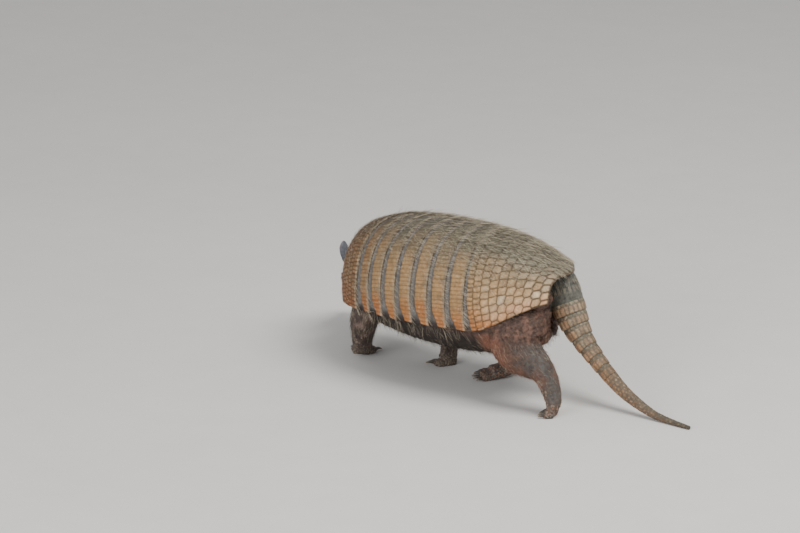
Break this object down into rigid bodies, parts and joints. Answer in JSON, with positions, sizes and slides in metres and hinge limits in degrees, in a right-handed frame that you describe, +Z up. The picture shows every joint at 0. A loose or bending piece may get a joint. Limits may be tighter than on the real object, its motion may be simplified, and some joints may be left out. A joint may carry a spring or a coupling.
{
  "type": "armadillo",
  "caption": "Still life-size armadillo standing mid-stride, with a domed banded shell, lowered wedge-shaped head, clawed feet and a ringed tail laid down to the floor.",
  "frame": {"origin": "on the floor, under the middle of the whole model's box", "axes": "+Z up; the head points towards -X and turns to the animal's right, +Y; the tail points towards +X; the animal's left side is towards -Y"},
  "size_m": [0.598, 0.2022, 0.2006],
  "materials": {
    "shell_plate": "weathered horn over bony plates, orange brown to grey tan",
    "head_plate": "weathered horn over bony plates, brown",
    "tail_plate": "horny rings and scales, pinkish tan",
    "skin": "warty dark purple brown skin with sparse bristles",
    "ear_skin": "thin grey skin",
    "claw": "dark horn",
    "eye": "wet, near black"
  },
  "bodies": {
    "root": {"shell_shoulder": "shell_plate", "shell_band_1": "shell_plate", "shell_band_2": "shell_plate", "shell_band_3": "shell_plate", "shell_band_4": "shell_plate", "shell_band_5": "shell_plate", "shell_band_6": "shell_plate", "shell_band_7": "shell_plate", "shell_pelvic": "shell_plate", "head": "skin", "head_shield": "head_plate", "eye_left": "eye", "ear_left": "ear_skin", "eye_right": "eye", "ear_right": "ear_skin", "neck": "skin", "trunk": "skin", "leg_hind_left": "skin", "claw_hind_left_1": "claw", "claw_hind_left_2": "claw", "claw_hind_left_3": "claw", "claw_hind_left_4": "claw", "claw_hind_left_5": "claw", "leg_hind_right": "skin", "claw_hind_right_1": "claw", "claw_hind_right_2": "claw", "claw_hind_right_3": "claw", "claw_hind_right_4": "claw", "claw_hind_right_5": "claw", "leg_front_left": "skin", "claw_front_left_1": "claw", "claw_front_left_2": "claw", "claw_front_left_3": "claw", "claw_front_left_4": "claw", "claw_front_left_5": "claw", "leg_front_right": "skin", "claw_front_right_1": "claw", "claw_front_right_2": "claw", "claw_front_right_3": "claw", "claw_front_right_4": "claw", "claw_front_right_5": "claw", "tail_base": "skin", "tail_ring_1": "tail_plate", "tail_ring_2": "tail_plate", "tail_ring_3": "tail_plate", "tail_ring_4": "tail_plate", "tail_ring_5": "tail_plate", "tail_ring_6": "tail_plate", "tail_ring_7": "tail_plate", "tail_middle": "tail_plate", "tail_end": "tail_plate"}
  },
  "joints": []
}
